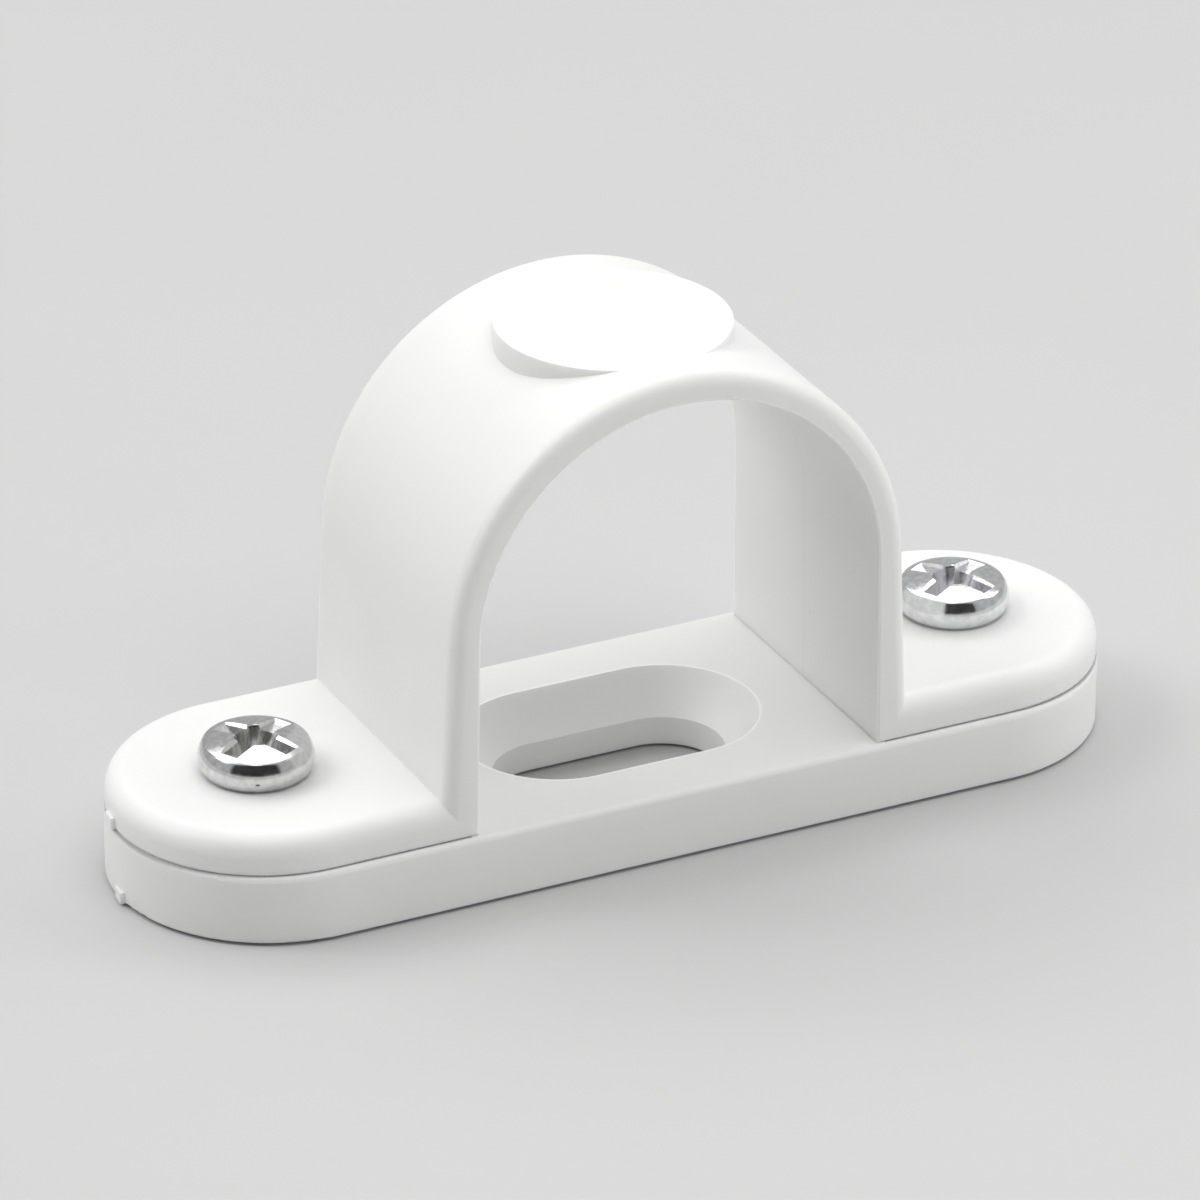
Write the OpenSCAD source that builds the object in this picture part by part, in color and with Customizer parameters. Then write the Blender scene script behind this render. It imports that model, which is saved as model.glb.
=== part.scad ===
// Conduit saddle on a spacer bar. A moulded strap holds a conduit down on a moulded base, which one
// wall screw fixes through its sunk slot, and two pan-head screws hold the strap's tabs on the base.
// The bar lies along X, the conduit along Y, and the wall is the plane Z = 0.

/* [Conduit] */
// Outside diameter of the conduit that the strap holds
conduit_d = 25; // [20:0.5:40]
// Room between the conduit and the strap at each side
side_gap = 0.5; // [0.2:0.1:1.5]

/* [Base] */
// Width of the base, along the conduit
base_w = 19.6; // [18:0.1:28]
// Height of the base
base_h = 4.3; // [3.5:0.1:8]
// Radius of the base's upper edge
base_top_r = 0.35; // [0.1:0.05:0.8]
// Radius of the base's lower edge
base_foot_r = 0.15; // [0.05:0.05:0.5]

/* [Fixing slot] */
// Width of the slot for the wall screw
slot_w = 7.5; // [4.5:0.1:9]
// Travel of the wall screw along the slot
slot_travel = 7.2; // [2:0.1:12]
// How far the slot's sunk mouth widens at each side
sink_rim = 2; // [0.5:0.1:3]
// Depth of the slot's sunk mouth
sink_h = 2.5; // [1:0.1:3]

/* [Strap] */
// Wall of the strap at its crown
wall = 1.75; // [1.4:0.05:3]
// Lean of each leg's inner face from upright, in degrees
inner_lean = 0.6; // [0.2:0.1:1.5]
// Lean of each leg's outer face from upright, in degrees
outer_lean = 2.6; // [1.6:0.1:4]
// Radius of the strap's outer edges
strap_edge_r = 0.9; // [0.2:0.1:1]
// Radius of the strap's inner edges
mouth_edge_r = 0.2; // [0.1:0.05:0.35]

/* [Tabs] */
// Reach of each tab from the crown's outside to its end
tab_reach = 17.15; // [15:0.05:25]
// Thickness of each tab
tab_h = 2.35; // [2:0.05:4]
// Radius of the tab's upper edge
tab_top_r = 1.3; // [0.3:0.1:1.4]
// Radius of the tab's lower edge
tab_foot_r = 0.15; // [0.1:0.05:0.5]
// Step from each side of the saddle out to the base's side
side_step = 0.4; // [0.05:0.05:0.8]
// Step from each end of the saddle out to the base's end
end_step = 0.05; // [0.05:0.05:0.5]

/* [Pad] */
// Diameter of the flat pad on the crown
pad_d = 14.1; // [6:0.1:17]
// Drop from the crown's highest line to the pad's flat top, which stands clear of the crown at each side
pad_drop = 0.25; // [0.1:0.05:0.4]

/* [Screws] */
// Distance of each screw from the crown's outside
screw_reach = 8.45; // [7:0.05:9.5]
// Diameter over the screw's thread
thread_d = 3.5; // [3:0.1:4]
// Diameter of the screw's core
core_d = 2.6; // [2:0.1:2.8]
// Diameter of the screw's head at its widest
head_d = 6.85; // [6:0.05:8]
// Height of the head's barrel side, from its seat to its domed top
head_side_h = 1.9; // [1.6:0.05:2.2]
// Radius of the head's domed top
dome_r = 12; // [9:0.5:20]
// Radius of the head's barrel side, seen from the side
barrel_r = 1.5; // [1.3:0.1:2]
// Radius of the rim between the head's top and its side
rim_r = 0.25; // [0.1:0.05:0.4]
// Length of the driver's cross from tip to tip
cross_l = 4.8; // [2.5:0.1:5]
// Width of each arm of the cross
cross_w = 1.15; // [0.6:0.05:1.4]
// Diameter of the pit in the middle of the cross
cross_pit_d = 2.5; // [1.6:0.1:2.7]
// Depth of the cross
cross_h = 1.7; // [0.8:0.1:1.8]
// Turn of the left screw's cross from the bar, in degrees
left_turn = 29; // [-45:1:45]
// Turn of the right screw's cross from the bar, in degrees
right_turn = 28; // [-45:1:45]
// Room round the thread in the tab's hole, on the diameter
hole_gap = 0.4; // [0.2:0.1:0.8]
// Room round the core in the base's hole, on the diameter
pilot_gap = 0.1; // [0.05:0.05:0.3]
// Distance from the screw's end up from the wall
end_gap = 0.6; // [0.2:0.1:1.5]

/* [Gate marks] */
// Width of the broken gate at the left end of each moulding
gate_w = 1; // [0.5:0.1:2]
// Height of the broken gate
gate_h = 0.7; // [0.4:0.1:1.2]
// Place of the base's gate along the conduit
base_gate_y = -0.3; // [-3:0.1:3]
// Place of the saddle's gate along the conduit
saddle_gate_y = 1; // [-3:0.1:3]
// How far the broken gate stands out
gate_out = 0.25; // [0.1:0.05:0.5]

/* [Hidden] */
$fn = 96;

// Length by which a cut runs past the face it opens
past = 1;
sides = [-1, 1];

// Crown of the strap: a conduit of the stated size touches both the base and the crown
bore_r = conduit_d / 2 + side_gap;
crown_r = bore_r + wall;
crown_z = base_h + conduit_d - bore_r;
pad_z = crown_z + crown_r - pad_drop;

// Outlines of the two mouldings
saddle_l = 2 * (crown_r + tab_reach);
base_l = saddle_l + 2 * end_step;
saddle_w = base_w - 2 * side_step;

// Passage for the conduit, and the small edge left where its rounded mouth meets the strap's side
passage_l = saddle_w + 2 * past;
mouth_lead = 0.02;

// Seats of the screws, their points, and the narrow bottom of the driver's cross as a share of its top
screw_x = crown_r + screw_reach;
seat_z = base_h + tab_h;
point_l = core_d / 5;
cross_taper = 0.4;

// Head of a screw: its widest line halfway up its side, the radius where side and top meet, and its height
belt_h = head_side_h / 2;
corner_r = head_d / 2 - barrel_r + sqrt(barrel_r * barrel_r - belt_h * belt_h);
head_h = head_side_h + dome_r - sqrt(dome_r * dome_r - corner_r * corner_r);

// Root of a broken gate: its depth in the moulding and its width
gate_root = 1;
gate_root_w = gate_w * 1.3;

// Quarter of a disc, for a rounded corner
module quarter(radius) {
    intersection() {
        circle(radius);
        square(radius);
    }
}

// Half of a bar's section, with its outer corners rounded
module half_section(width, height, top_r, foot_r) {
    square([width / 2 - top_r, height]);
    square([width / 2 - foot_r, height - top_r]);
    translate([0, foot_r]) square([width / 2, height - top_r - foot_r]);
    translate([width / 2 - top_r, height - top_r]) quarter(top_r);
    translate([width / 2 - foot_r, foot_r]) mirror([0, 1]) quarter(foot_r);
}

// Bar with round ends, its section carried round both ends
module round_bar(length, width, height, top_r, foot_r) {
    run = length - width;
    rotate([90, 0, 90]) linear_extrude(run, center = true) for (side = [0, 1]) {
        mirror([side, 0]) half_section(width, height, top_r, foot_r);
    }
    for (side = sides) translate([side * run / 2, 0, 0]) {
        rotate([0, 0, -90 * side]) rotate_extrude(angle = 180) half_section(width, height, top_r, foot_r);
    }
}

// Slot with round ends, seen from above
module slot_outline() {
    square([slot_travel, slot_w], center = true);
    for (side = sides) translate([side * slot_travel / 2, 0]) circle(d = slot_w);
}

// Sunk mouth of the slot, widening up to the base's top and on past it
module slot_sink() {
    low_r = slot_w / 2;
    high_r = low_r + sink_rim * (sink_h + past) / sink_h;
    translate([0, 0, base_h - sink_h]) {
        for (side = sides) translate([side * slot_travel / 2, 0, 0])
            cylinder(h = sink_h + past, r1 = low_r, r2 = high_r);
        rotate([90, 0, 90]) linear_extrude(slot_travel, center = true)
            polygon([[-low_r, 0], [low_r, 0], [high_r, sink_h + past], [-high_r, sink_h + past]]);
    }
}

// Round holes of one size at both screws
module screw_holes(diameter) {
    for (side = sides) translate([side * screw_x, 0, -past]) cylinder(h = seat_z + 2 * past, d = diameter);
}

// Stub that a broken moulding gate leaves on the left end of a bar
module gate_mark(length, y) {
    translate([-length / 2, y, 0]) linear_extrude(gate_h) polygon([
        [gate_root, -gate_root_w / 2],
        [-gate_out, -gate_w / 2],
        [-gate_out / 2, gate_w / 2],
        [gate_root, gate_root_w / 2]
    ]);
}

// Half-round arch with straight legs, swept from a section of radius and place along the conduit
module arch(lean) {
    leg_l = crown_z + past;
    translate([0, 0, crown_z]) {
        rotate([90, 0, 0]) rotate([0, 0, lean]) rotate_extrude(angle = 180 - 2 * lean) children();
        for (side = [0, 1]) mirror([side, 0, 0]) rotate([0, -lean, 0]) translate([0, 0, -leg_l])
            linear_extrude(leg_l) children();
    }
}

// Section of the strap's outer form, with its two outer edges rounded
module strap_section() {
    mid_w = saddle_w - 2 * strap_edge_r;
    translate([0, -mid_w / 2]) square([crown_r, mid_w]);
    translate([0, -saddle_w / 2]) square([crown_r - strap_edge_r, saddle_w]);
    for (side = sides) translate([crown_r - strap_edge_r, side * mid_w / 2]) circle(strap_edge_r);
}

// Section of the space under the strap, flared at both mouths to round the inner edges
module passage_section() {
    arc_y = saddle_w / 2 - mouth_edge_r + mouth_lead;
    translate([0, -passage_l / 2]) square([bore_r, passage_l]);
    for (side = [0, 1]) mirror([0, side]) difference() {
        translate([0, arc_y]) square([bore_r + mouth_edge_r, passage_l / 2 - arc_y]);
        translate([bore_r + mouth_edge_r, arc_y]) circle(mouth_edge_r);
    }
}

// Space under the strap for the conduit, down through the tabs
module passage() {
    arch(inner_lean) passage_section();
    translate([-bore_r / 2, -passage_l / 2, 0]) cube([bore_r, passage_l, crown_z]);
}

// Outer form of the strap, standing in the tabs
module strap() {
    foot_z = base_h + tab_h / 2;
    difference() {
        arch(outer_lean) strap_section();
        translate([0, 0, foot_z - crown_z]) cube([2 * saddle_l, 2 * saddle_w, 2 * crown_z], center = true);
    }
}

module base() {
    color("whitesmoke") difference() {
        union() {
            round_bar(base_l, base_w, base_h, base_top_r, base_foot_r);
            gate_mark(base_l, base_gate_y);
        }
        translate([0, 0, -past]) linear_extrude(base_h + 2 * past) slot_outline();
        slot_sink();
        screw_holes(core_d + pilot_gap);
    }
}

module saddle() {
    color("white") difference() {
        union() {
            strap();
            translate([0, 0, base_h]) round_bar(saddle_l, saddle_w, tab_h, tab_top_r, tab_foot_r);
            translate([0, 0, base_h]) gate_mark(saddle_l, saddle_gate_y);
            translate([0, 0, crown_z]) cylinder(h = pad_z - crown_z, d = pad_d);
        }
        passage();
        screw_holes(thread_d + hole_gap);
    }
}

// Point that lies ra from point a and rb from point b, on the right of the way from a to b
function meet(a, ra, b, rb) =
    let (way = (b - a) / norm(b - a))
    let (along = (ra * ra - rb * rb + norm(b - a) * norm(b - a)) / 2 / norm(b - a))
    a + along * way + sqrt(ra * ra - along * along) * [way.y, -way.x];

// Section of a screw's head: a domed top and a barrel side, joined by a small round rim
module head_section() {
    dome_at = [0, head_h - dome_r];
    side_at = [head_d / 2 - barrel_r, belt_h];
    rim_at = meet(dome_at, dome_r - rim_r, side_at, barrel_r - rim_r);
    dome_end = dome_at + (rim_at - dome_at) * dome_r / (dome_r - rim_r);
    side_end = side_at + (rim_at - side_at) * barrel_r / (barrel_r - rim_r);
    square([side_at.x, belt_h]);
    intersection() {
        translate(dome_at) circle(dome_r);
        translate([0, belt_h]) square([dome_end.x, head_h]);
    }
    intersection() {
        translate(side_at) circle(barrel_r);
        square([head_d, side_end.y]);
    }
    translate(rim_at) circle(rim_r);
}

// Two arms of the driver's cross in line, narrowing to the bottom of the recess
module cross_arms(turn) {
    top = cross_l / 2;
    low = top * cross_taper;
    rotate([90, 0, turn]) linear_extrude(cross_w, center = true)
        polygon([[-top, past], [-top, 0], [-low, -cross_h], [low, -cross_h], [top, 0], [top, past]]);
}

// Recess for the driver: a cross with a tapered pit in its middle, its mouth at the origin
module cross_recess(turn) {
    for (step = [0, 90]) cross_arms(turn + step);
    translate([0, 0, -cross_h]) cylinder(h = cross_h, d1 = cross_pit_d * cross_taper, d2 = cross_pit_d);
}

// Pan-head screw with a driver's cross, its seat at the origin
module screw(turn) {
    shank_l = seat_z - end_gap;
    difference() {
        union() {
            rotate_extrude() head_section();
            translate([0, 0, point_l - shank_l]) cylinder(h = shank_l, d = core_d);
            translate([0, 0, -shank_l]) cylinder(h = point_l, d1 = core_d - 2 * point_l, d2 = core_d);
        }
        translate([0, 0, head_h]) cross_recess(turn);
    }
}

module screws() {
    color("silver") {
        translate([-screw_x, 0, seat_z]) screw(left_turn);
        translate([screw_x, 0, seat_z]) screw(right_turn);
    }
}

base();
saddle();
screws();
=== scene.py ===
# Conduit saddle on a spacer bar, seen as in the photograph: two white PVC mouldings and two zinc screws.
import math

import bpy
from mathutils import Matrix, Vector


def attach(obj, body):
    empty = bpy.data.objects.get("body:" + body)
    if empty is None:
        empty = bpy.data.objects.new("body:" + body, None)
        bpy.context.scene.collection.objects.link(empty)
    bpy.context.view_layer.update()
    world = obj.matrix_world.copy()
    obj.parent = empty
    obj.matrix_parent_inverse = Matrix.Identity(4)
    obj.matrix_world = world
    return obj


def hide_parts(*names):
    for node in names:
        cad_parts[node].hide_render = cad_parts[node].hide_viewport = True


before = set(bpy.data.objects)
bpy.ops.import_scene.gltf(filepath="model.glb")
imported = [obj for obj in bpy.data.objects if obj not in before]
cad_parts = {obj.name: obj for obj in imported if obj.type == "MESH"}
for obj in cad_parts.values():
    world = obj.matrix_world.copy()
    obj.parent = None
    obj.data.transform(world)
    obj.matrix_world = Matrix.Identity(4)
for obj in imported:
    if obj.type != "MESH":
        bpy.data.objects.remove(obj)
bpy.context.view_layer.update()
scene = bpy.context.scene
scene.view_settings.view_transform = "Standard"

MM = 0.001
# Difference in height that still counts as level
LEVEL = 0.005 * MM
# Distance at which two points of a mesh count as one
MERGE = 0.001 * MM
# Share of a face's normal along Z from which it counts as facing up or down
FACING = 0.9

# Camera, fitted to the photograph's outlines
CAMERA_AZIMUTH = math.radians(-26.607)
CAMERA_ELEVATION = math.radians(27.016)
CAMERA_ROLL = math.radians(0.448)
CAMERA_DISTANCE = 490.57 * MM
CAMERA_LENS = 248.43
CAMERA_SENSOR = 36.0
AIM_POINT = Vector((0.0, 0.0, 11.762 * MM))
AIM_OFFSET_RIGHT = -0.6134 * MM
AIM_OFFSET_UP = 0.5964 * MM

# Places of the screws, which sit a little off the middle of their holes, and the turns of their crosses
SEAT_Z = 6.65 * MM
LEFT_SCREW = (-23.2 * MM, -0.3 * MM, math.radians(29))
RIGHT_SCREW = (23.35 * MM, 0.3 * MM, math.radians(28))

# Head of a screw: a barrel side, which is widest at its belt and tucks in more below it, and a domed top
HEAD_D = 6.9 * MM
HEAD_SIDE_H = 1.9 * MM
BELT_H = 0.86 * MM
BARREL_R = 1.7 * MM
BARREL_FOOT_R = 1.15 * MM
DOME_R = 12.0 * MM
RIM_BEVEL = 0.07 * MM
# Narrow foot that the head stands on, which leaves a thin gap under its edge
FOOT_H = 0.12 * MM
FOOT_STEP = 0.45 * MM
HEAD_SEGMENTS = 96
BARREL_RINGS = 7
DOME_RINGS = 12
RIM_STEPS = 4
# Angle between two faces up to which their edge is shaded smooth
SMOOTH_ANGLE = math.radians(28)

# Driver's cross: the flare of its rim, its arms' sloped ends and its floor, each as a depth and a radius
CROSS_W = 1.0 * MM
FLARE = 0.14 * MM
ARM_RIM_R = 2.55 * MM
ARM_END_H = 0.35 * MM
ARM_END_R = 1.75 * MM
CROSS_H = 1.7 * MM
ARM_FLOOR_R = 0.9 * MM
ARM_FLOOR_SHARE = 0.7
PIT_RIM_R = 1.2 * MM
PIT_FLOOR_R = 0.6 * MM
PIT_SEGMENTS = 48
# Depth below the dome from which a face counts as inside the cross
RECESS_H = 0.12 * MM

# Shank and thread
CORE_R = 1.3 * MM
CORE_SEGMENTS = 48
SHANK_L = 6.05 * MM
POINT_L = 0.52 * MM
SHANK_ROOT = 0.3 * MM
THREAD_R = 1.75 * MM
THREAD_PITCH = 1.3 * MM
THREAD_TURNS = 2
THREAD_STEPS = 40
RIDGE_R = 0.4 * MM
THREAD_START = -5.3 * MM

# Passage: the middle of its crown, its radius, a radius that lies inside the wall, and where its rims begin
CROWN_Z = 16.3 * MM
PASSAGE_R = 13.0 * MM
INSIDE_R = 13.6 * MM
PASSAGE_RIM_Y = 9.2 * MM

# Mould's parting line and a scratch inside the passage
PARTING_Y = 0.15 * MM
PARTING_W = 0.14 * MM
SCRATCH_PLACE = (13.06 * MM, -0.54 * MM, 9.16 * MM)
SCRATCH_TURN = math.radians(49)
SCRATCH_SIZE = (1.0 * MM, 0.84 * MM, 0.09 * MM)

# Width of the fine strips on the mouldings: the painted highlights along the rims and the painted seam shadow
STRIP_W = 0.2 * MM

# Mouth of the fixing slot, with a painted highlight along it for the light its edge catches, as the rims of
# the passage have
SLOT_REACH = 3.6 * MM
SLOT_R = 5.75 * MM

# Seam between the base's top and the feet of the tabs, drawn as a thin painted shadow of the gap between the
# parts
BASE_H = 4.3 * MM
TAB_REACH = 22.5 * MM
SEAM_R = 9.3 * MM
SEAM_H = 0.3 * MM

# Dark fleck on the side of the left screw's head
FLECK_PLACE = (-24.52 * MM, -3.44 * MM, 7.37 * MM)
FLECK_SIZE = (0.28 * MM, 0.28 * MM, 0.18 * MM)

# The base isn't quite flat, so most of its foot stands a little clear of the floor
FLOOR_Z = -0.2 * MM
FLOOR_SIZE = 4.0
# Size of the painted shadow: a patch of darker paper under the fixing slot, where the slot's shade falls
PAINTED_SLOT_SHADOW_SIZE = (30 * MM, 18 * MM, 10 * MM)

# Colours of the mouldings, and of each screw's plate and cross in their darker and their lighter clouds
BASE_WHITE = (0.88, 0.88, 0.872)
SADDLE_WHITE = (0.885, 0.885, 0.878)
LEFT_PLATE = ((0.58, 0.59, 0.585), (0.74, 0.745, 0.74))
LEFT_CROSS = ((0.58, 0.58, 0.575), (0.80, 0.80, 0.795))
RIGHT_PLATE = ((0.68, 0.685, 0.695), (0.83, 0.835, 0.845))
RIGHT_CROSS = ((0.72, 0.72, 0.74), (0.90, 0.90, 0.92))
# Colours of the fleck, the floor's paper, its painted shadow under the slot and the dark card
FLECK_GREY = (0.12, 0.12, 0.12)
PAPER = ((0.578, 0.578, 0.576), (0.592, 0.592, 0.59))
PAINTED_SLOT_SHADOW = (0.455, 0.455, 0.453)
CARD_BLACK = ((0.02, 0.02, 0.02), (0.05, 0.05, 0.05))

# Shares of a moulding's white in its clouds, on its marks, and in its painted highlights and painted shadow
CLOUD_SHARE = 0.975
# Painted highlight: share of the white in the pale lines along the rims of the slot and the passage
RIM_HIGHLIGHT_SHARE = 1.12
# Painted shadow: share of the white in the dark seam line round the tabs
PAINTED_SEAM_SHADOW_SHARE = 0.5
PARTING_SHARE = 0.94
SCRATCH_SHARE = 0.86


def deselect_everything():
    """Leaves edit mode and deselects every object."""
    if bpy.context.object and bpy.context.object.mode != "OBJECT":
        bpy.ops.object.mode_set(mode="OBJECT")
    bpy.ops.object.select_all(action="DESELECT")


def activate(obj):
    """Selects one object alone and makes it the active one."""
    deselect_everything()
    obj.select_set(True)
    bpy.context.view_layer.objects.active = obj


def pick(obj, kind, test):
    """In edit mode, selects only the verts, edges or faces that pass the test."""
    bpy.ops.mesh.select_mode(type={"vertices": "VERT", "edges": "EDGE", "polygons": "FACE"}[kind])
    bpy.ops.mesh.select_all(action="DESELECT")
    bpy.ops.object.mode_set(mode="OBJECT")
    mesh = obj.data
    for item in getattr(mesh, kind):
        item.select = test(mesh, item)
    bpy.ops.object.mode_set(mode="EDIT")


def ends(mesh, edge):
    """Places of an edge's two ends."""
    return [mesh.vertices[i].co for i in edge.vertices]


def lift(distance):
    """In edit mode, draws the selected faces out along Z."""
    bpy.ops.mesh.extrude_region_move(TRANSFORM_OT_translate={"value": (0, 0, distance)})


def fuse(obj, other, operation):
    """Cuts one piece out of another or joins it on, and deletes it."""
    activate(obj)
    change = obj.modifiers.new("fuse", "BOOLEAN")
    change.operation = operation
    change.solver = "EXACT"
    change.object = other
    bpy.ops.object.modifier_apply(modifier=change.name)
    bpy.data.objects.remove(other)


def apply_place(obj):
    """Puts an object's place and turn into its mesh."""
    activate(obj)
    bpy.ops.object.transform_apply(location=True, rotation=True, scale=True)


def dome_height(radius):
    """Height of the head's domed top above its seat, at a distance from its middle."""
    corner = HEAD_D / 2 - BARREL_R + math.sqrt(BARREL_R ** 2 - (HEAD_SIDE_H - BELT_H) ** 2)
    return HEAD_SIDE_H + math.sqrt(DOME_R ** 2 - radius ** 2) - math.sqrt(DOME_R ** 2 - corner ** 2)


def head_rings():
    """Radius and height of the head's rings, from its narrow foot up the barrel side and over the dome."""
    side = []
    for step in range(-BARREL_RINGS, BARREL_RINGS + 1):
        barrel_r = BARREL_R if step > 0 else BARREL_FOOT_R
        reach = HEAD_SIDE_H - BELT_H if step > 0 else BELT_H - FOOT_H
        rise = reach * step / BARREL_RINGS
        side.append((HEAD_D / 2 - barrel_r + math.sqrt(barrel_r ** 2 - rise ** 2), BELT_H + rise))
    foot = side[0][0] - FOOT_STEP
    rings = [(foot, 0), (foot, FOOT_H)] + side
    corner = rings[-1][0]
    for step in range(1, DOME_RINGS):
        radius = corner * (1 - step / DOME_RINGS)
        rings.append((radius, dome_height(radius)))
    return rings


def screw_head():
    """Pan head with its seat at the origin: a disc drawn up ring by ring, with a small bevel at its rim."""
    rings = head_rings()
    deselect_everything()
    bpy.ops.mesh.primitive_circle_add(vertices=HEAD_SEGMENTS, radius=rings[0][0], fill_type="NGON")
    head = bpy.context.object
    bpy.ops.object.mode_set(mode="EDIT")
    bpy.ops.mesh.select_mode(type="FACE")
    bpy.ops.mesh.select_all(action="SELECT")
    for (low_r, low_z), (high_r, high_z) in zip(rings, rings[1:]):
        lift(high_z - low_z)
        bpy.ops.transform.resize(value=(high_r / low_r, high_r / low_r, 1))
    pick(head, "edges", lambda mesh, e: all(abs(p.z - HEAD_SIDE_H) < LEVEL for p in ends(mesh, e)))
    bpy.ops.mesh.bevel(offset=RIM_BEVEL, segments=RIM_STEPS, profile=0.5)
    bpy.ops.mesh.select_all(action="SELECT")
    bpy.ops.mesh.normals_make_consistent(inside=False)
    bpy.ops.object.mode_set(mode="OBJECT")
    return head


def cross_arms(turn):
    """Cutter for two arms of the driver's cross in line: sloped ends, and a flared mouth along the dome."""
    rim_z = dome_height(ARM_RIM_R) - FLARE
    mouth = 2 * FLARE
    deselect_everything()
    bpy.ops.mesh.primitive_cube_add(size=1)
    bar = bpy.context.object
    bar.scale = (2 * ARM_RIM_R, CROSS_W, ARM_END_H)
    bar.location = (0, 0, rim_z - ARM_END_H / 2)
    apply_place(bar)
    bpy.ops.object.mode_set(mode="EDIT")
    pick(bar, "polygons", lambda mesh, face: face.normal.z < -FACING)
    bpy.ops.transform.resize(value=(ARM_END_R / ARM_RIM_R, 1, 1))
    lift(ARM_END_H - CROSS_H)
    bpy.ops.transform.resize(value=(ARM_FLOOR_R / ARM_END_R, ARM_FLOOR_SHARE, 1))
    pick(bar, "edges", lambda mesh, e: all(abs(p.z - rim_z) < LEVEL for p in ends(mesh, e))
         and abs(ends(mesh, e)[0].x - ends(mesh, e)[1].x) > ARM_RIM_R)
    bpy.ops.mesh.subdivide(number_cuts=1)
    pick(bar, "vertices", lambda mesh, v: abs(v.co.x) < LEVEL and abs(v.co.z - rim_z) < LEVEL)
    bpy.ops.transform.translate(value=(0, 0, dome_height(0) - FLARE - rim_z))
    pick(bar, "polygons", lambda mesh, face: face.center.z > rim_z and face.normal.z > FACING)
    lift(mouth)
    bpy.ops.transform.resize(value=(1 + mouth / ARM_RIM_R, 1 + 2 * mouth / CROSS_W, 1))
    bpy.ops.object.mode_set(mode="OBJECT")
    bar.rotation_euler = (0, 0, turn)
    apply_place(bar)
    return bar


def cross_pit():
    """Cutter for the tapered pit in the middle of the driver's cross, with a flared mouth."""
    rim_z = dome_height(PIT_RIM_R) - FLARE
    floor_z = dome_height(ARM_RIM_R) - FLARE - CROSS_H
    mouth = 2 * FLARE
    deselect_everything()
    bpy.ops.mesh.primitive_cone_add(
        vertices=PIT_SEGMENTS, radius1=PIT_FLOOR_R, radius2=PIT_RIM_R, depth=rim_z - floor_z)
    pit = bpy.context.object
    pit.location = (0, 0, (rim_z + floor_z) / 2)
    apply_place(pit)
    bpy.ops.object.mode_set(mode="EDIT")
    pick(pit, "polygons", lambda mesh, face: face.normal.z > FACING)
    lift(mouth)
    bpy.ops.transform.resize(value=(1 + mouth / PIT_RIM_R, 1 + mouth / PIT_RIM_R, 1))
    bpy.ops.object.mode_set(mode="OBJECT")
    return pit


def screw_shank():
    """Plain core below the seat, with a short point, rooted in the head."""
    length = SHANK_L + SHANK_ROOT
    deselect_everything()
    bpy.ops.mesh.primitive_cylinder_add(vertices=CORE_SEGMENTS, radius=CORE_R, depth=length)
    shank = bpy.context.object
    shank.location = (0, 0, SHANK_ROOT - length / 2)
    apply_place(shank)
    bpy.ops.object.mode_set(mode="EDIT")
    pick(shank, "edges", lambda mesh, e: all(p.z < LEVEL - SHANK_L for p in ends(mesh, e)))
    bpy.ops.mesh.bevel(offset=POINT_L, segments=1)
    bpy.ops.object.mode_set(mode="OBJECT")
    return shank


def screw_thread():
    """Ridge that winds up the shank: a triangle swept up a helix, with its two ends closed."""
    deselect_everything()
    bpy.ops.mesh.primitive_circle_add(vertices=3, radius=RIDGE_R)
    thread = bpy.context.object
    thread.rotation_euler = (math.pi / 2, math.pi / 2, 0)
    thread.location = (THREAD_R - RIDGE_R, 0, THREAD_START)
    apply_place(thread)
    sweep = thread.modifiers.new("sweep", "SCREW")
    sweep.angle = 2 * math.pi
    sweep.screw_offset = THREAD_PITCH
    sweep.iterations = THREAD_TURNS
    sweep.steps = THREAD_STEPS
    sweep.render_steps = THREAD_STEPS
    bpy.ops.object.modifier_apply(modifier=sweep.name)
    bpy.ops.object.mode_set(mode="EDIT")
    bpy.ops.mesh.select_all(action="SELECT")
    bpy.ops.mesh.fill_holes(sides=3)
    bpy.ops.mesh.select_all(action="SELECT")
    bpy.ops.mesh.normals_make_consistent(inside=False)
    bpy.ops.object.mode_set(mode="OBJECT")
    return thread


def close_slivers(obj):
    """Merges the points that the cuts left on top of each other, so that the mesh is closed."""
    activate(obj)
    bpy.ops.object.mode_set(mode="EDIT")
    bpy.ops.mesh.select_all(action="SELECT")
    bpy.ops.mesh.remove_doubles(threshold=MERGE)
    bpy.ops.mesh.dissolve_degenerate(threshold=MERGE)
    bpy.ops.object.mode_set(mode="OBJECT")


def whole_screw():
    """Screw with its seat at the origin and its cross along X and Y."""
    screw = screw_head()
    for turn in (0, math.pi / 2):
        fuse(screw, cross_arms(turn), "DIFFERENCE")
    fuse(screw, cross_pit(), "DIFFERENCE")
    shank = screw_shank()
    fuse(shank, screw_thread(), "UNION")
    fuse(screw, shank, "UNION")
    close_slivers(screw)
    activate(screw)
    bpy.ops.object.shade_smooth_by_angle(angle=SMOOTH_ANGLE)
    return screw


def mark_recess(screw):
    """Gives the faces inside the driver's cross the screw's second material."""
    for face in screw.data.polygons:
        radius = face.center.xy.length
        low = face.center.z < dome_height(radius) - RECESS_H
        face.material_index = int(radius < ARM_RIM_R and low and face.center.z > SHANK_ROOT)


def placed_copy(model, name, place):
    """Copy of the screw with its own mesh, turned and set on its tab."""
    x, y, turn = place
    copy = model.copy()
    copy.data = model.data.copy()
    copy.name = name
    copy.data.name = name
    scene.collection.objects.link(copy)
    copy.rotation_euler = (0, 0, turn)
    copy.location = (x, y, SEAT_Z)
    apply_place(copy)
    return copy


def new_material(name):
    """New node material: returns it with its tree, its main shader and its object coordinates."""
    material = bpy.data.materials.new(name)
    material.use_nodes = True
    tree = material.node_tree
    place = tree.nodes.new("ShaderNodeTexCoord").outputs["Object"]
    return material, tree, tree.nodes["Principled BSDF"], place


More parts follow.
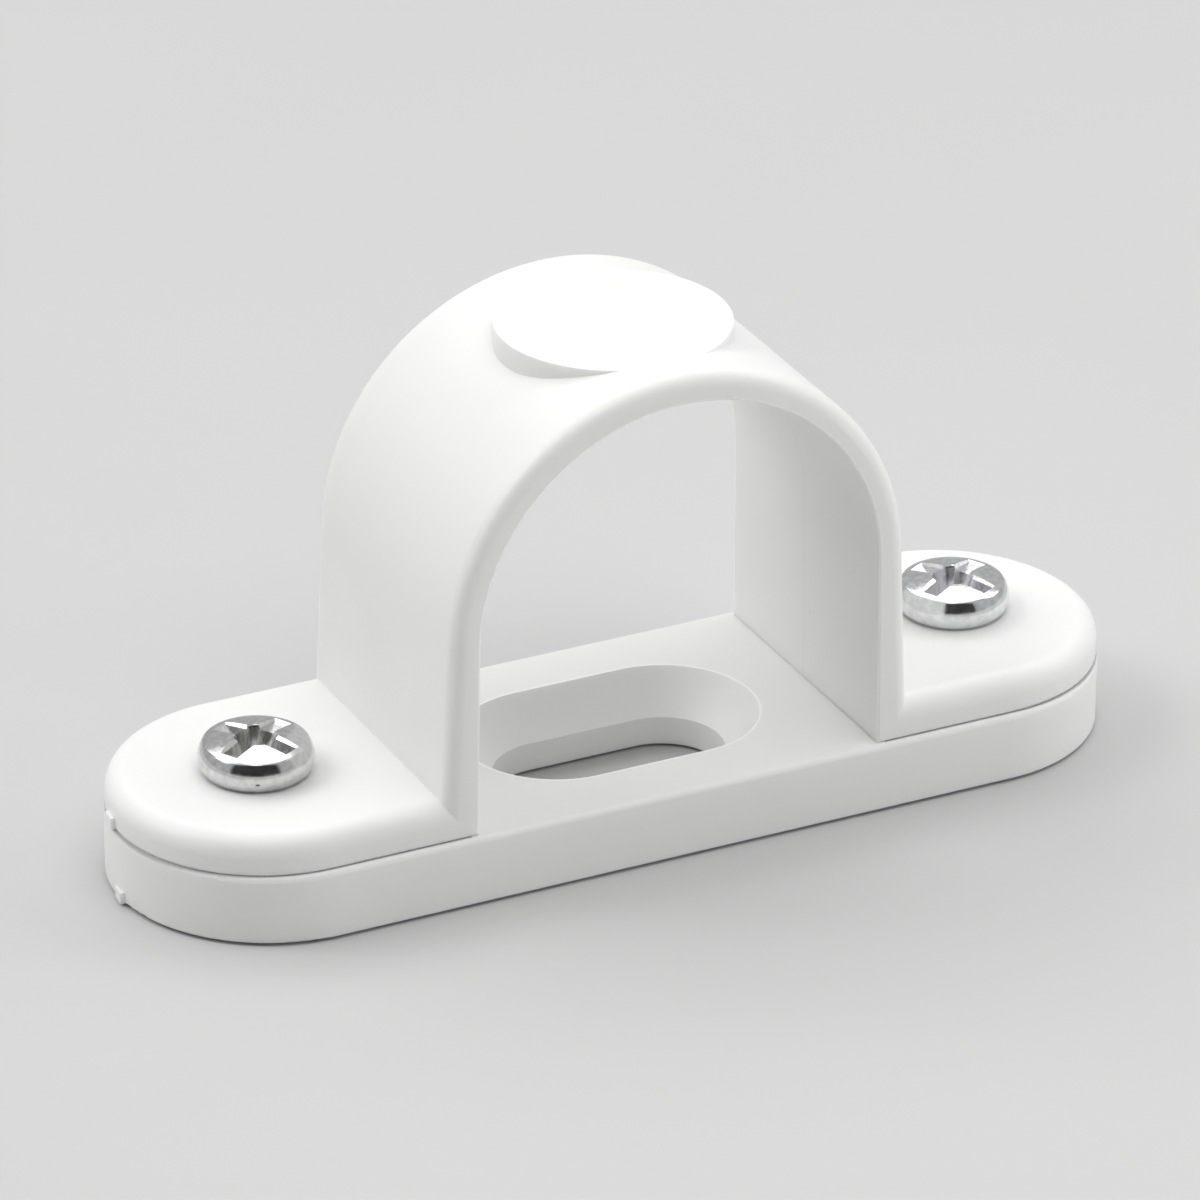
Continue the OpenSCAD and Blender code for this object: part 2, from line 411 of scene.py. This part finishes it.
def noise(tree, place, grains, detail=2.0, stretch=(1, 1, 1)):
    """Noise over the object, with so many grains a metre, drawn together along each axis by the stretch."""
    mapping = tree.nodes.new("ShaderNodeMapping")
    mapping.inputs["Scale"].default_value = stretch
    tree.links.new(place, mapping.inputs["Vector"])
    texture = tree.nodes.new("ShaderNodeTexNoise")
    texture.inputs["Scale"].default_value = grains
    texture.inputs["Detail"].default_value = detail
    tree.links.new(mapping.outputs["Vector"], texture.inputs["Vector"])
    return texture.outputs["Fac"]


def remap(tree, value, source, target):
    """Value carried from one range to another, and held at its ends."""
    node = tree.nodes.new("ShaderNodeMapRange")
    for name, number in zip(("From Min", "From Max", "To Min", "To Max"), (*source, *target)):
        node.inputs[name].default_value = number
    tree.links.new(value, node.inputs["Value"])
    return node.outputs["Result"]


def spread(tree, value, target):
    """Noise carried from the span that most of it lies in to a range."""
    usual = (0.3, 0.7)
    return remap(tree, value, usual, target)


def tint(tree, mask, low, high):
    """Colour between two colours, by a mask. Either colour may be another node's output."""
    node = tree.nodes.new("ShaderNodeMix")
    node.data_type = "RGBA"
    tree.links.new(mask, node.inputs["Factor"])
    sockets = [s for s in node.inputs if s.type == "RGBA"]
    for socket, colour in zip(sockets, (low, high)):
        if isinstance(colour, tuple):
            socket.default_value = (*colour, 1)
        else:
            tree.links.new(colour, socket)
    return [s for s in node.outputs if s.type == "RGBA"][0]


def bump(tree, height, depth, strength, below=None):
    """Normal of a bumped surface, on top of another bump where one is given."""
    node = tree.nodes.new("ShaderNodeBump")
    node.inputs["Distance"].default_value = depth
    node.inputs["Strength"].default_value = strength
    tree.links.new(height, node.inputs["Height"])
    if below:
        tree.links.new(below, node.inputs["Normal"])
    return node.outputs["Normal"]


def shade(tone, share):
    """A colour made darker or lighter by a share."""
    return tuple(share * v for v in tone)


def vector_math(tree, operation, vector, second=None):
    """One step of vector arithmetic, with a fixed second vector where it needs one."""
    node = tree.nodes.new("ShaderNodeVectorMath")
    node.operation = operation
    tree.links.new(vector, node.inputs[0])
    if second:
        node.inputs[1].default_value = second
    return node.outputs["Value" if operation == "LENGTH" else "Vector"]


def combine(tree, operation, first, second):
    """One step of arithmetic on two values."""
    node = tree.nodes.new("ShaderNodeMath")
    node.operation = operation
    tree.links.new(first, node.inputs[0])
    tree.links.new(second, node.inputs[1])
    return node.outputs["Value"]


def both(tree, first, second):
    """Mask that holds where two masks do."""
    return combine(tree, "MINIMUM", first, second)


def either(tree, first, second):
    """Mask that holds where one of two masks does."""
    return combine(tree, "MAXIMUM", first, second)


def box_mask(tree, place, middle, size, turn=0.0):
    """Mask of a box that fades from half way out to its sides, and can be turned about X."""
    mapping = tree.nodes.new("ShaderNodeMapping")
    mapping.vector_type = "TEXTURE"
    mapping.inputs["Location"].default_value = middle
    mapping.inputs["Rotation"].default_value = (turn, 0, 0)
    mapping.inputs["Scale"].default_value = [length / 2 for length in size]
    tree.links.new(place, mapping.inputs["Vector"])
    axes = tree.nodes.new("ShaderNodeSeparateXYZ")
    tree.links.new(vector_math(tree, "ABSOLUTE", mapping.outputs["Vector"]), axes.inputs["Vector"])
    masks = [remap(tree, axes.outputs[axis], (0.5, 1), (1, 0)) for axis in "XYZ"]
    return both(tree, both(tree, masks[0], masks[1]), masks[2])


def arch_distance(tree, place):
    """Distance from the passage's middle line round the crown, and from its middle plane between the legs."""
    raised = vector_math(tree, "SUBTRACT", place, (0, 0, CROWN_Z))
    arch = vector_math(tree, "MULTIPLY", vector_math(tree, "MAXIMUM", raised, (-1, -1, 0)), (1, 0, 1))
    return vector_math(tree, "LENGTH", arch)


def round_end_distance(tree, place, reach):
    """Distance from a middle line along X that reaches so far each way, round its two ends."""
    past = vector_math(tree, "SUBTRACT", vector_math(tree, "ABSOLUTE", place), (reach, 0, 0))
    round_ends = vector_math(tree, "MAXIMUM", past, (0, 0, 0))
    return vector_math(tree, "LENGTH", vector_math(tree, "MULTIPLY", round_ends, (1, 1, 0)))


def strip(tree, distance, edge):
    """Mask of a fine strip outside an edge, which fades away from it."""
    outside = remap(tree, distance, (edge - LEVEL, edge), (0, 1))
    return both(tree, outside, remap(tree, distance, (edge + STRIP_W / 2, edge + STRIP_W), (1, 0)))


def outside_passage(tree, place):
    """Mask of what lies farther out than the passage."""
    return remap(tree, arch_distance(tree, place), (INSIDE_R, INSIDE_R + LEVEL), (0, 1))


def painted_seam_shadow(tree, place):
    """Mask of the painted shadow: a fine dark line on top of the base round the foot of each tab, where the
    gap between the parts is shaded.
    """
    edge = strip(tree, round_end_distance(tree, place, TAB_REACH), SEAM_R)
    top = box_mask(tree, place, (0, 0, BASE_H), (1, 1, 2 * SEAM_H))
    return both(tree, both(tree, edge, top), outside_passage(tree, place))


def base_painted_light(tree, place, colour, tone):
    """Base's colour with a painted highlight round its slot and a painted shadow along the seam round the
    tabs.
    """
    # Painted highlight along the mouth of the slot
    slot_rim_highlight = strip(tree, round_end_distance(tree, place, SLOT_REACH), SLOT_R)
    slotted = tint(tree, slot_rim_highlight, colour, shade(tone, RIM_HIGHLIGHT_SHARE))
    # Painted shadow along the seam round the tabs
    return tint(tree, painted_seam_shadow(tree, place), slotted, shade(tone, PAINTED_SEAM_SHADOW_SHARE))


def saddle_marks_and_highlight(tree, place, colour, tone):
    """Saddle's colour with a parting line and a scratch inside the passage, and a painted highlight along its
    rims.
    """
    line = box_mask(tree, place, (0, PARTING_Y, 0), (1, PARTING_W, 1))
    inside = remap(tree, outside_passage(tree, place), (0, 1), (1, 0))
    parted = tint(tree, both(tree, line, inside), colour, shade(tone, PARTING_SHARE))
    scratch = box_mask(tree, place, SCRATCH_PLACE, SCRATCH_SIZE, SCRATCH_TURN)
    scratched = tint(tree, scratch, parted, shade(tone, SCRATCH_SHARE))
    axes = tree.nodes.new("ShaderNodeSeparateXYZ")
    tree.links.new(vector_math(tree, "ABSOLUTE", place), axes.inputs["Vector"])
    rim = remap(tree, axes.outputs["Y"], (PASSAGE_RIM_Y, PASSAGE_RIM_Y + LEVEL), (0, 1))
    # Painted highlight along the passage's rims
    passage_rim_highlight = both(tree, rim, strip(tree, arch_distance(tree, place), PASSAGE_R))
    return tint(tree, passage_rim_highlight, scratched, shade(tone, RIM_HIGHLIGHT_SHARE))


def white_pvc(name, tone, marks_and_painted_light):
    """White moulded PVC: a little milky under a satin skin, with faint clouds, marks, painted highlights and
    painted shadow, sinks and grain.
    """
    material, tree, shader, place = new_material(name)
    shader.inputs["Subsurface Weight"].default_value = 0.5
    shader.inputs["Subsurface Radius"].default_value = (1, 1, 1)
    shader.inputs["Subsurface Scale"].default_value = 0.6 * MM
    clouds = spread(tree, noise(tree, place, grains=70, detail=3.0), (0, 1))
    clouded = tint(tree, clouds, shade(tone, CLOUD_SHARE), tone)
    tree.links.new(marks_and_painted_light(tree, place, clouded, tone), shader.inputs["Base Color"])
    roughness = spread(tree, noise(tree, place, grains=420, detail=3.0), (0.34, 0.44))
    tree.links.new(roughness, shader.inputs["Roughness"])
    sinks = bump(tree, noise(tree, place, grains=160), depth=0.03 * MM, strength=0.25)
    grain = bump(tree, noise(tree, place, grains=5200), depth=0.006 * MM, strength=0.25, below=sinks)
    tree.links.new(grain, shader.inputs["Normal"])
    return material


def bright_zinc(name, low, high):
    """Bright zinc plate: light grey metal with clouds, uneven gloss, soft waves, fine speckle and a fleck."""
    material, tree, shader, place = new_material(name)
    shader.inputs["Metallic"].default_value = 1
    clouds = spread(tree, noise(tree, place, grains=2400, detail=4.0), (0, 1))
    plate = tint(tree, clouds, low, high)
    fleck = box_mask(tree, place, FLECK_PLACE, FLECK_SIZE)
    tree.links.new(tint(tree, fleck, plate, FLECK_GREY), shader.inputs["Base Color"])
    roughness = spread(tree, noise(tree, place, grains=2600, detail=4.0), (0.10, 0.22))
    tree.links.new(roughness, shader.inputs["Roughness"])
    waves = bump(tree, noise(tree, place, grains=900), depth=0.01 * MM, strength=0.35)
    specks = noise(tree, place, grains=6500, detail=3.0)
    speckle = bump(tree, specks, depth=0.01 * MM, strength=0.25, below=waves)
    tree.links.new(speckle, shader.inputs["Normal"])
    return material


def recess_zinc(name, low, high):
    """Zinc plate inside the driver's cross: duller, with streaks down its walls where the punch went in."""
    material, tree, shader, place = new_material(name)
    shader.inputs["Metallic"].default_value = 1
    streaks = noise(tree, place, grains=4200, detail=3.0, stretch=(1, 1, 0.12))
    clouds = spread(tree, streaks, (0, 1))
    tree.links.new(tint(tree, clouds, low, high), shader.inputs["Base Color"])
    roughness = spread(tree, streaks, (0.24, 0.38))
    tree.links.new(roughness, shader.inputs["Roughness"])
    tree.links.new(bump(tree, streaks, depth=0.02 * MM, strength=0.4), shader.inputs["Normal"])
    return material


def paper_with_painted_shadow():
    """Floor's matt grey paper, with a painted shadow under the fixing slot."""
    material, tree, shader, place = new_material("paper_with_painted_shadow")
    clouds = spread(tree, noise(tree, place, grains=12, detail=3.0), (0, 1))
    paper = tint(tree, clouds, *PAPER)
    # Painted shadow: the paper is darkened under the fixing slot, as the slot's shade would darken it
    painted_slot_shadow_mask = box_mask(tree, place, (0, 0, 0), PAINTED_SLOT_SHADOW_SIZE)
    tree.links.new(tint(tree, painted_slot_shadow_mask, paper, PAINTED_SLOT_SHADOW), shader.inputs["Base Color"])
    shader.inputs["Roughness"].default_value = 0.9
    return material


def studio_black():
    """Dark side of the studio, which the screws mirror."""
    material, tree, shader, place = new_material("studio_black")
    clouds = spread(tree, noise(tree, place, grains=6), (0, 1))
    tree.links.new(tint(tree, clouds, *CARD_BLACK), shader.inputs["Base Color"])
    shader.inputs["Roughness"].default_value = 1.0
    return material


def dress(obj, *materials):
    """Gives an object its materials, in the order of their numbers on its faces."""
    numbers = [face.material_index for face in obj.data.polygons]
    obj.data.materials.clear()
    for material in materials:
        obj.data.materials.append(material)
    for face, number in zip(obj.data.polygons, numbers):
        face.material_index = min(number, len(materials) - 1)


def paper_floor():
    """Sheet of paper that the object lies on."""
    deselect_everything()
    bpy.ops.mesh.primitive_plane_add(size=FLOOR_SIZE)
    floor = bpy.context.object
    floor.name = "floor"
    floor.location.z = FLOOR_Z
    apply_place(floor)
    dress(floor, paper_with_painted_shadow())


def dark_card():
    """Black card in front of the object, seen only in reflections."""
    distance = 0.5
    width = 1.1
    height = 0.6
    facing = Vector((math.sin(CAMERA_AZIMUTH), -math.cos(CAMERA_AZIMUTH), 0))
    deselect_everything()
    bpy.ops.mesh.primitive_plane_add(size=1)
    card = bpy.context.object
    card.name = "dark_card"
    card.scale = (width, height, 1)
    card.rotation_euler = (math.pi / 2, 0, CAMERA_AZIMUTH)
    card.location = distance * facing + Vector((0, 0, height / 2))
    apply_place(card)
    for way in ("camera", "diffuse", "transmission", "volume_scatter", "shadow"):
        setattr(card, "visible_" + way, False)
    dress(card, studio_black())


def area_light(name, place, width, height, watts, mirrored):
    """Soft lamp at a place, pointing at the object, which gloss shows only where it is mirrored."""
    data = bpy.data.lights.new(name, "AREA")
    data.shape = "RECTANGLE"
    data.size = width
    data.size_y = height
    data.energy = watts
    lamp = bpy.data.objects.new(name, data)
    lamp.visible_glossy = mirrored
    lamp.location = place
    lamp.rotation_euler = (-Vector(place)).to_track_quat("-Z", "Y").to_euler()
    scene.collection.objects.link(lamp)


def studio_world():
    """Dim even light all round, and the room's grey walls where the camera or a gloss sees them."""
    fill = 0.215
    walls = 0.5
    world = bpy.data.worlds.new("studio")
    world.use_nodes = True
    tree = world.node_tree
    path = tree.nodes.new("ShaderNodeLightPath")
    seen = path.outputs["Is Camera Ray"]
    for name in ("Is Glossy Ray", "Is Transmission Ray"):
        seen = either(tree, seen, path.outputs[name])
    sky = tree.nodes["Background"]
    sky.inputs["Color"].default_value = (1, 1, 1, 1)
    tree.links.new(remap(tree, seen, (0, 1), (fill, walls)), sky.inputs["Strength"])
    scene.world = world


def photo_camera():
    """Camera at the photograph's angle, distance and framing."""
    back = Vector((
        math.sin(CAMERA_AZIMUTH) * math.cos(CAMERA_ELEVATION),
        -math.cos(CAMERA_AZIMUTH) * math.cos(CAMERA_ELEVATION),
        math.sin(CAMERA_ELEVATION)))
    level = Vector((math.cos(CAMERA_AZIMUTH), math.sin(CAMERA_AZIMUTH), 0))
    upward = back.cross(level)
    right = math.cos(CAMERA_ROLL) * level + math.sin(CAMERA_ROLL) * upward
    up = math.cos(CAMERA_ROLL) * upward - math.sin(CAMERA_ROLL) * level
    data = bpy.data.cameras.new("camera")
    data.lens = CAMERA_LENS
    data.sensor_width = CAMERA_SENSOR
    data.sensor_fit = "HORIZONTAL"
    camera = bpy.data.objects.new("camera", data)
    place = AIM_POINT + AIM_OFFSET_RIGHT * right + AIM_OFFSET_UP * up + CAMERA_DISTANCE * back
    camera.matrix_world = Matrix.Translation(place) @ Matrix((right, up, back)).transposed().to_4x4()
    scene.collection.objects.link(camera)
    scene.camera = camera


dress(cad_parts["base"], white_pvc("base_pvc", BASE_WHITE, base_painted_light))
dress(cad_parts["saddle"], white_pvc("saddle_pvc", SADDLE_WHITE, saddle_marks_and_highlight))

left_zinc = bright_zinc("left_zinc", *LEFT_PLATE)
left_recess = recess_zinc("left_recess_zinc", *LEFT_CROSS)
right_zinc = bright_zinc("right_zinc", *RIGHT_PLATE)
right_recess = recess_zinc("right_recess_zinc", *RIGHT_CROSS)
dress(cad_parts["screws"], left_zinc)
screw_model = whole_screw()
mark_recess(screw_model)
for name, place, plate, recess in (
        ("screw_left", LEFT_SCREW, left_zinc, left_recess),
        ("screw_right", RIGHT_SCREW, right_zinc, right_recess)):
    screw = placed_copy(screw_model, name, place)
    dress(screw, plate, recess)
    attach(screw, "root")
    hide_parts("screws")
bpy.data.objects.remove(screw_model)

paper_floor()
dark_card()
area_light("top_softbox", (0.0, 0.0, 0.7), width=0.6, height=0.6, watts=0.8, mirrored=True)
area_light("back_softbox", (0.213, 0.426, 0.643), width=1.12, height=0.31, watts=2.15, mirrored=True)
area_light("back_left_softbox", (-0.45, 0.45, 0.55), width=0.5, height=0.5, watts=2.03, mirrored=False)
area_light("left_softbox", (-0.54, 0.18, 0.57), width=0.45, height=0.45, watts=1.42, mirrored=True)
area_light("front_softbox", (0.05, -0.2, 0.4), width=0.25, height=0.25, watts=0.42, mirrored=False)
area_light("front_card", (-0.09, -0.18, 0.4), width=0.12, height=0.12, watts=0.07, mirrored=True)
area_light("front_right_softbox", (0.3, -0.17, 0.09), width=0.2, height=0.2, watts=0.3, mirrored=False)
area_light("right_softbox", (0.72, -0.08, 0.53), width=0.4, height=0.4, watts=0.97, mirrored=True)
studio_world()
photo_camera()
